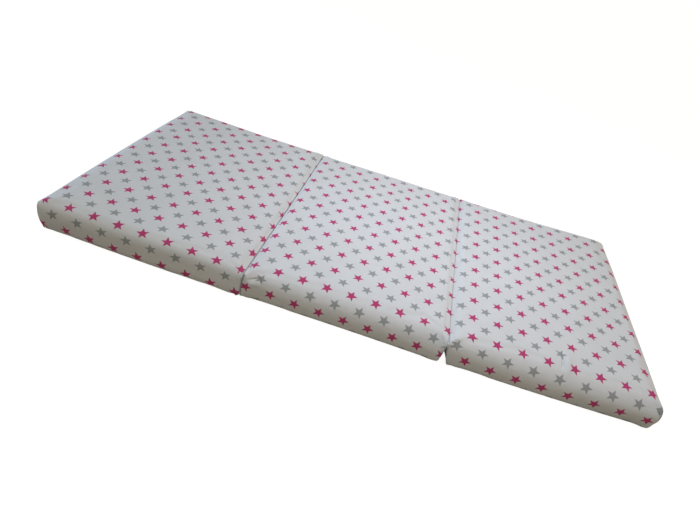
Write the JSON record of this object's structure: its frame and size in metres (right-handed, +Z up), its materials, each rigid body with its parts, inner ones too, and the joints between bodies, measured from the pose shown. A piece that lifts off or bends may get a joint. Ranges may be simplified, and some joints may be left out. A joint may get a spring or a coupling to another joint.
{
  "type": "folding mattress",
  "caption": "Foam travel-cot mattress in star-printed cotton covers that folds in a Z into a stack of panels, each with a zip along its back side.",
  "frame": {"origin": "centre of the middle panel's flat base, on the floor it lies on", "axes": "+X along the length towards the panel that folds over the top, +Y towards the long side with the zips, +Z up through the thickness"},
  "size_m": [1.2, 0.6021, 0.06],
  "materials": {
    "printed_cotton": "matte",
    "foam": "matte",
    "zip_tape": "matte",
    "zip_coil": "satin",
    "zip_metal": "satin"
  },
  "bodies": {
    "middle_panel": {"middle_foam_core": "foam", "middle_upper_cover": "printed_cotton", "middle_base_cover": "printed_cotton", "middle_zip_upper_tape": "zip_tape", "middle_zip_lower_tape": "zip_tape", "middle_zip_upper_coil": "zip_coil", "middle_zip_lower_coil": "zip_coil", "middle_zip_upper_top_stop": "zip_metal", "middle_zip_lower_top_stop": "zip_metal", "middle_zip_end_stop": "zip_metal", "left_fold_strip": "printed_cotton", "right_fold_strip": "printed_cotton"},
    "left_panel": {"left_foam_core": "foam", "left_upper_cover": "printed_cotton", "left_base_cover": "printed_cotton", "left_zip_upper_tape": "zip_tape", "left_zip_lower_tape": "zip_tape", "left_zip_upper_coil": "zip_coil", "left_zip_lower_coil": "zip_coil", "left_zip_upper_top_stop": "zip_metal", "left_zip_lower_top_stop": "zip_metal", "left_zip_end_stop": "zip_metal"},
    "right_panel": {"right_foam_core": "foam", "right_upper_cover": "printed_cotton", "right_base_cover": "printed_cotton", "right_zip_upper_tape": "zip_tape", "right_zip_lower_tape": "zip_tape", "right_zip_upper_coil": "zip_coil", "right_zip_lower_coil": "zip_coil", "right_zip_upper_top_stop": "zip_metal", "right_zip_lower_top_stop": "zip_metal", "right_zip_end_stop": "zip_metal"},
    "left_zip_slider": {"left_zip_slider": "zip_metal"},
    "left_zip_pull": {"left_zip_pull": "zip_metal"},
    "middle_zip_slider": {"middle_zip_slider": "zip_metal"},
    "middle_zip_pull": {"middle_zip_pull": "zip_metal"},
    "right_zip_slider": {"right_zip_slider": "zip_metal"},
    "right_zip_pull": {"right_zip_pull": "zip_metal"}
  },
  "joints": [
    {"name": "left_fold", "type": "hinge", "parent": "middle_panel", "child": "left_panel", "pos_m": [-0.2005, 0, -0.00015], "axis": [0, -1, 0], "range_deg": [0, 179.5], "deforming": ["left_fold_strip"]},
    {"name": "right_fold", "type": "hinge", "parent": "middle_panel", "child": "right_panel", "pos_m": [0.2005, 0, 0.06015], "axis": [0, -1, 0], "range_deg": [0, 179.5], "deforming": ["right_fold_strip"]},
    {"name": "left_zip_run", "type": "slide", "parent": "left_panel", "child": "left_zip_slider", "axis": [-1, 0, 0], "range_m": [0, 0.2648], "deforming": ["left_zip_upper_coil", "left_zip_lower_coil"]},
    {"name": "middle_zip_run", "type": "slide", "parent": "middle_panel", "child": "middle_zip_slider", "axis": [-1, 0, 0], "range_m": [0, 0.2648], "deforming": ["middle_zip_upper_coil", "middle_zip_lower_coil"]},
    {"name": "right_zip_run", "type": "slide", "parent": "right_panel", "child": "right_zip_slider", "axis": [-1, 0, 0], "range_m": [0, 0.2648], "deforming": ["right_zip_upper_coil", "right_zip_lower_coil"]},
    {"name": "left_pull_swing", "type": "hinge", "parent": "left_zip_slider", "child": "left_zip_pull", "pos_m": [-0.2686, 0.30005, 0.0235], "axis": [0, 0, -1], "range_deg": [0, 180]},
    {"name": "middle_pull_swing", "type": "hinge", "parent": "middle_zip_slider", "child": "middle_zip_pull", "pos_m": [0.1324, 0.30005, 0.0235], "axis": [0, 0, -1], "range_deg": [0, 180]},
    {"name": "right_pull_swing", "type": "hinge", "parent": "right_zip_slider", "child": "right_zip_pull", "pos_m": [0.5334, 0.30005, 0.0235], "axis": [0, 0, -1], "range_deg": [0, 180]}
  ]
}
